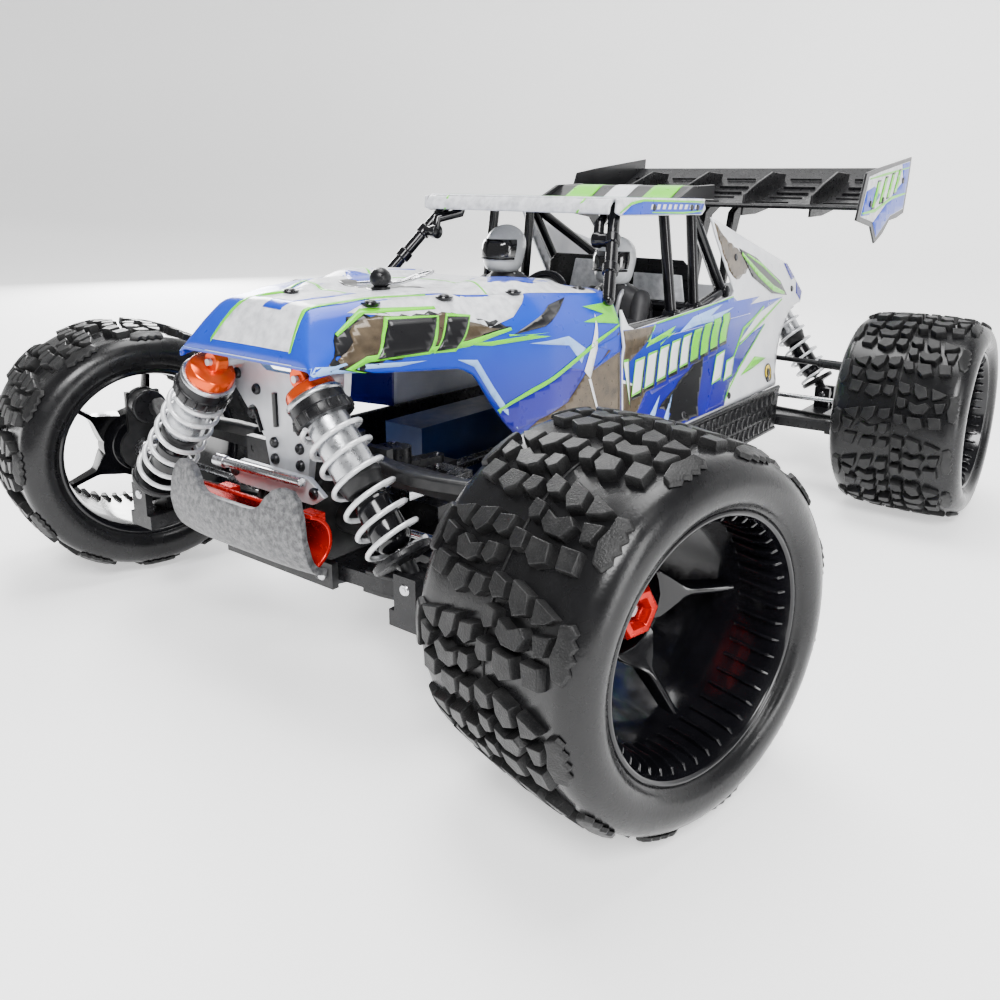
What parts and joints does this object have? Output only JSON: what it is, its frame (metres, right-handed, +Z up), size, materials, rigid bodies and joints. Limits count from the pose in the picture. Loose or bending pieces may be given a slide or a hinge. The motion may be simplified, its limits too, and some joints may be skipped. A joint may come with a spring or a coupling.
{
  "type": "rc buggy",
  "caption": "Electric off-road buggy, eighth scale: four-wheel drive, double wishbones, coil shocks, steered front wheels, caged cockpit with seated figures, rear wing.",
  "frame": {"origin": "on the ground under the middle of the overall box", "axes": "+Z up, nose towards -Y, the left side is +X"},
  "size_m": [0.47, 0.6148, 0.256],
  "materials": {
    "tyre_rubber": "satin",
    "wheel_black": "gloss",
    "black_plastic": "satin",
    "steel": "satin",
    "silver_alloy": "satin",
    "grey_plate": "satin",
    "red_anodised": "satin",
    "spring_wire": "gloss",
    "body_paint": "gloss",
    "bumper_grey": "matte",
    "cage_black": "gloss",
    "figure_plastic": "satin",
    "battery_wrap": "satin"
  },
  "bodies": {
    "chassis": {"chassis_plate": "grey_plate", "side_guards": "black_plastic", "front_bumper": "bumper_grey", "bumper_braces": "red_anodised", "gearbox_cases": "black_plastic", "shock_towers": "silver_alloy", "hood_panel": "body_paint", "side_panels": "body_paint", "roof_panel": "body_paint", "roll_cage": "cage_black", "driver_figures": "figure_plastic", "rear_wing": "cage_black", "battery_and_esc": "battery_wrap", "drive_motor": "silver_alloy", "steering_servo": "black_plastic"},
    "centre_shaft": {"spur_gear": "steel"},
    "motor_shaft": {"motor_pinion": "steel"},
    "left_crank": {"bellcrank_left": "black_plastic"},
    "right_crank": {"bellcrank_right": "black_plastic"},
    "drag_link": {"drag_link": "black_plastic"},
    "lower_arm_fl": {"lower_arm_fl": "black_plastic"},
    "upper_arm_fl": {"upper_arm_fl": "black_plastic"},
    "ball_races_fl": {"ball_races_fl": "black_plastic"},
    "knuckle_fl": {"knuckle_fl": "black_plastic"},
    "wheel_fl": {"tyre_fl": "tyre_rubber", "wheel_fl": "wheel_black"},
    "driveshaft_fl": {"driveshaft_fl": "steel"},
    "shock_body_fl": {"shock_body_fl": "silver_alloy", "spring_fl": "spring_wire"},
    "shock_shaft_fl": {"shock_shaft_fl": "steel"},
    "lower_arm_fr": {"lower_arm_fr": "black_plastic"},
    "upper_arm_fr": {"upper_arm_fr": "black_plastic"},
    "ball_races_fr": {"ball_races_fr": "black_plastic"},
    "knuckle_fr": {"knuckle_fr": "black_plastic"},
    "wheel_fr": {"tyre_fr": "tyre_rubber", "wheel_fr": "wheel_black"},
    "driveshaft_fr": {"driveshaft_fr": "steel"},
    "shock_body_fr": {"shock_body_fr": "silver_alloy", "spring_fr": "spring_wire"},
    "shock_shaft_fr": {"shock_shaft_fr": "steel"},
    "lower_arm_rl": {"lower_arm_rl": "black_plastic"},
    "upper_link_rl": {"upper_link_rl": "black_plastic"},
    "upright_rl": {"upright_rl": "black_plastic"},
    "wheel_rl": {"tyre_rl": "tyre_rubber", "wheel_rl": "wheel_black"},
    "driveshaft_rl": {"driveshaft_rl": "steel"},
    "shock_body_rl": {"shock_body_rl": "silver_alloy", "spring_rl": "spring_wire"},
    "shock_shaft_rl": {"shock_shaft_rl": "steel"},
    "lower_arm_rr": {"lower_arm_rr": "black_plastic"},
    "upper_link_rr": {"upper_link_rr": "black_plastic"},
    "upright_rr": {"upright_rr": "black_plastic"},
    "wheel_rr": {"tyre_rr": "tyre_rubber", "wheel_rr": "wheel_black"},
    "driveshaft_rr": {"driveshaft_rr": "steel"},
    "shock_body_rr": {"shock_body_rr": "silver_alloy", "spring_rr": "spring_wire"},
    "shock_shaft_rr": {"shock_shaft_rr": "steel"},
    "tie_rod_fl": {"tie_rod_fl": "steel"},
    "tie_rod_fr": {"tie_rod_fr": "steel"}
  },
  "joints": [
    {"name": "centre_shaft_spin", "type": "hinge", "parent": "chassis", "child": "centre_shaft", "pos_m": [0, -0.03564, 0.066], "axis": [0, 1, 0], "continuous": true},
    {"name": "motor_spin", "type": "hinge", "parent": "chassis", "child": "motor_shaft", "pos_m": [0.03, -0.03564, 0.066], "axis": [0, 1, 0], "continuous": true},
    {"name": "suspension_fl", "type": "hinge", "parent": "chassis", "child": "lower_arm_fl", "pos_m": [0.032, -0.22364, 0.052], "axis": [0, -1, 0], "range_deg": [0, 14], "stiffness_Nm_per_rad": 5, "springref_deg": -28.65},
    {"name": "upper_arm_fl_swing", "type": "hinge", "parent": "chassis", "child": "upper_arm_fl", "pos_m": [0.032, -0.22364, 0.096], "axis": [0, -1, 0], "range_deg": [0, 14]},
    {"name": "ball_races_fl_level", "type": "hinge", "parent": "lower_arm_fl", "child": "ball_races_fl", "pos_m": [0.146, -0.22364, 0.054], "axis": [0, -1, 0], "range_deg": [-14, 0]},
    {"name": "steer_fl", "type": "hinge", "parent": "ball_races_fl", "child": "knuckle_fl", "pos_m": [0.146, -0.22364, 0.07125], "axis": [0, 0, 1], "range_deg": [-11, 39]},
    {"name": "wheel_spin_fl", "type": "hinge", "parent": "knuckle_fl", "child": "wheel_fl", "pos_m": [0.146, -0.22364, 0.07125], "axis": [0.9703, -0.2419, 0], "continuous": true},
    {"name": "driveshaft_spin_fl", "type": "hinge", "parent": "lower_arm_fl", "child": "driveshaft_fl", "pos_m": [0.032, -0.22364, 0.06925], "axis": [0.9998, 0, 0.0175], "continuous": true},
    {"name": "shock_swing_fl", "type": "hinge", "parent": "chassis", "child": "shock_body_fl", "pos_m": [0.03, -0.25464, 0.142], "axis": [0, -1, 0], "range_deg": [0, 3.65]},
    {"name": "shock_slide_fl", "type": "slide", "parent": "shock_body_fl", "child": "shock_shaft_fl", "axis": [-0.6441, 0, 0.7649], "range_m": [0, 0.01438], "deforming": ["spring_fl"]},
    {"name": "suspension_fr", "type": "hinge", "parent": "chassis", "child": "lower_arm_fr", "pos_m": [-0.032, -0.22364, 0.052], "axis": [0, 1, 0], "range_deg": [0, 14], "stiffness_Nm_per_rad": 5, "springref_deg": -28.65},
    {"name": "upper_arm_fr_swing", "type": "hinge", "parent": "chassis", "child": "upper_arm_fr", "pos_m": [-0.032, -0.22364, 0.096], "axis": [0, 1, 0], "range_deg": [0, 14]},
    {"name": "ball_races_fr_level", "type": "hinge", "parent": "lower_arm_fr", "child": "ball_races_fr", "pos_m": [-0.146, -0.22364, 0.054], "axis": [0, 1, 0], "range_deg": [-14, 0]},
    {"name": "steer_fr", "type": "hinge", "parent": "ball_races_fr", "child": "knuckle_fr", "pos_m": [-0.146, -0.22364, 0.07125], "axis": [0, 0, 1], "range_deg": [-11, 39]},
    {"name": "wheel_spin_fr", "type": "hinge", "parent": "knuckle_fr", "child": "wheel_fr", "pos_m": [-0.146, -0.22364, 0.07125], "axis": [0.9703, -0.2419, 0], "continuous": true},
    {"name": "driveshaft_spin_fr", "type": "hinge", "parent": "lower_arm_fr", "child": "driveshaft_fr", "pos_m": [-0.032, -0.22364, 0.06925], "axis": [0.9998, 0, -0.0175], "continuous": true},
    {"name": "shock_swing_fr", "type": "hinge", "parent": "chassis", "child": "shock_body_fr", "pos_m": [-0.03, -0.25464, 0.142], "axis": [0, 1, 0], "range_deg": [0, 3.65]},
    {"name": "shock_slide_fr", "type": "slide", "parent": "shock_body_fr", "child": "shock_shaft_fr", "axis": [0.6441, 0, 0.7649], "range_m": [0, 0.01438], "deforming": ["spring_fr"]},
    {"name": "suspension_rl", "type": "hinge", "parent": "chassis", "child": "lower_arm_rl", "pos_m": [0.032, 0.16236, 0.052], "axis": [0, -1, 0], "range_deg": [0, 14], "stiffness_Nm_per_rad": 5, "springref_deg": -28.65},
    {"name": "upper_link_rl_swing", "type": "hinge", "parent": "chassis", "child": "upper_link_rl", "pos_m": [0.032, 0.18236, 0.096], "axis": [0, -1, 0], "range_deg": [0, 14]},
    {"name": "upright_rl_level", "type": "hinge", "parent": "lower_arm_rl", "child": "upright_rl", "pos_m": [0.146, 0.16236, 0.054], "axis": [0, -1, 0], "range_deg": [-14, 0]},
    {"name": "wheel_spin_rl", "type": "hinge", "parent": "upright_rl", "child": "wheel_rl", "pos_m": [0.146, 0.16236, 0.07125], "axis": [1, 0, 0], "continuous": true},
    {"name": "driveshaft_spin_rl", "type": "hinge", "parent": "lower_arm_rl", "child": "driveshaft_rl", "pos_m": [0.032, 0.16236, 0.06925], "axis": [0.9998, 0, 0.0175], "continuous": true},
    {"name": "shock_swing_rl", "type": "hinge", "parent": "chassis", "child": "shock_body_rl", "pos_m": [0.044, 0.20936, 0.15], "axis": [0, -1, 0], "range_deg": [0, 3.58]},
    {"name": "shock_slide_rl", "type": "slide", "parent": "shock_body_rl", "child": "shock_shaft_rl", "axis": [-0.5812, 0, 0.8137], "range_m": [0, 0.01691], "deforming": ["spring_rl"]},
    {"name": "suspension_rr", "type": "hinge", "parent": "chassis", "child": "lower_arm_rr", "pos_m": [-0.032, 0.16236, 0.052], "axis": [0, 1, 0], "range_deg": [0, 14], "stiffness_Nm_per_rad": 5, "springref_deg": -28.65},
    {"name": "upper_link_rr_swing", "type": "hinge", "parent": "chassis", "child": "upper_link_rr", "pos_m": [-0.032, 0.18236, 0.096], "axis": [0, 1, 0], "range_deg": [0, 14]},
    {"name": "upright_rr_level", "type": "hinge", "parent": "lower_arm_rr", "child": "upright_rr", "pos_m": [-0.146, 0.16236, 0.054], "axis": [0, 1, 0], "range_deg": [-14, 0]},
    {"name": "wheel_spin_rr", "type": "hinge", "parent": "upright_rr", "child": "wheel_rr", "pos_m": [-0.146, 0.16236, 0.07125], "axis": [1, 0, 0], "continuous": true},
    {"name": "driveshaft_spin_rr", "type": "hinge", "parent": "lower_arm_rr", "child": "driveshaft_rr", "pos_m": [-0.032, 0.16236, 0.06925], "axis": [0.9998, 0, -0.0175], "continuous": true},
    {"name": "shock_swing_rr", "type": "hinge", "parent": "chassis", "child": "shock_body_rr", "pos_m": [-0.044, 0.20936, 0.15], "axis": [0, 1, 0], "range_deg": [0, 3.58]},
    {"name": "shock_slide_rr", "type": "slide", "parent": "shock_body_rr", "child": "shock_shaft_rr", "axis": [0.5812, 0, 0.8137], "range_m": [0, 0.01691], "deforming": ["spring_rr"]},
    {"name": "left_crank_turn", "type": "hinge", "parent": "chassis", "child": "left_crank", "pos_m": [0.016, -0.18564, 0.084], "axis": [0, 0, 1], "range_deg": [-11, 39]},
    {"name": "right_crank_turn", "type": "hinge", "parent": "chassis", "child": "right_crank", "pos_m": [-0.016, -0.18564, 0.084], "axis": [0, 0, 1], "range_deg": [-11, 39]},
    {"name": "drag_link_turn", "type": "hinge", "parent": "left_crank", "child": "drag_link", "pos_m": [0.02132, -0.16429, 0.084], "axis": [0, 0, 1], "range_deg": [-39, 11]},
    {"name": "tie_rod_swing_fl", "type": "hinge", "parent": "drag_link", "child": "tie_rod_fl", "pos_m": [0.03732, -0.20229, 0.084], "axis": [0, -1, 0], "range_deg": [0, 14]},
    {"name": "tie_rod_swing_fr", "type": "hinge", "parent": "drag_link", "child": "tie_rod_fr", "pos_m": [-0.02668, -0.20229, 0.084], "axis": [0, 1, 0], "range_deg": [0, 14]}
  ],
  "couplings": [
    {"joint": "motor_spin", "follows": "centre_shaft_spin", "ratio": -3.2857},
    {"joint": "upper_arm_fl_swing", "follows": "suspension_fl", "ratio": 1},
    {"joint": "ball_races_fl_level", "follows": "suspension_fl", "ratio": -1},
    {"joint": "driveshaft_spin_fl", "follows": "wheel_spin_fl", "ratio": 1},
    {"joint": "shock_swing_fl", "follows": "suspension_fl", "ratio": 0.25988},
    {"joint": "shock_slide_fl", "follows": "suspension_fl", "m_per_rad": 0.058734},
    {"joint": "upper_arm_fr_swing", "follows": "suspension_fr", "ratio": 1},
    {"joint": "ball_races_fr_level", "follows": "suspension_fr", "ratio": -1},
    {"joint": "steer_fr", "follows": "steer_fl", "ratio": 1},
    {"joint": "driveshaft_spin_fr", "follows": "wheel_spin_fr", "ratio": 1},
    {"joint": "shock_swing_fr", "follows": "suspension_fr", "ratio": 0.25988},
    {"joint": "shock_slide_fr", "follows": "suspension_fr", "m_per_rad": 0.058734},
    {"joint": "upper_link_rl_swing", "follows": "suspension_rl", "ratio": 1},
    {"joint": "upright_rl_level", "follows": "suspension_rl", "ratio": -1},
    {"joint": "driveshaft_spin_rl", "follows": "wheel_spin_rl", "ratio": 1},
    {"joint": "shock_swing_rl", "follows": "suspension_rl", "ratio": 0.25544},
    {"joint": "shock_slide_rl", "follows": "suspension_rl", "m_per_rad": 0.069079},
    {"joint": "upper_link_rr_swing", "follows": "suspension_rr", "ratio": 1},
    {"joint": "upright_rr_level", "follows": "suspension_rr", "ratio": -1},
    {"joint": "driveshaft_spin_rr", "follows": "wheel_spin_rr", "ratio": 1},
    {"joint": "shock_swing_rr", "follows": "suspension_rr", "ratio": 0.25544},
    {"joint": "shock_slide_rr", "follows": "suspension_rr", "m_per_rad": 0.069079},
    {"joint": "left_crank_turn", "follows": "steer_fl", "ratio": 1},
    {"joint": "right_crank_turn", "follows": "steer_fl", "ratio": 1},
    {"joint": "drag_link_turn", "follows": "steer_fl", "ratio": -1},
    {"joint": "tie_rod_swing_fl", "follows": "suspension_fl", "ratio": 1},
    {"joint": "tie_rod_swing_fr", "follows": "suspension_fr", "ratio": 1}
  ]
}
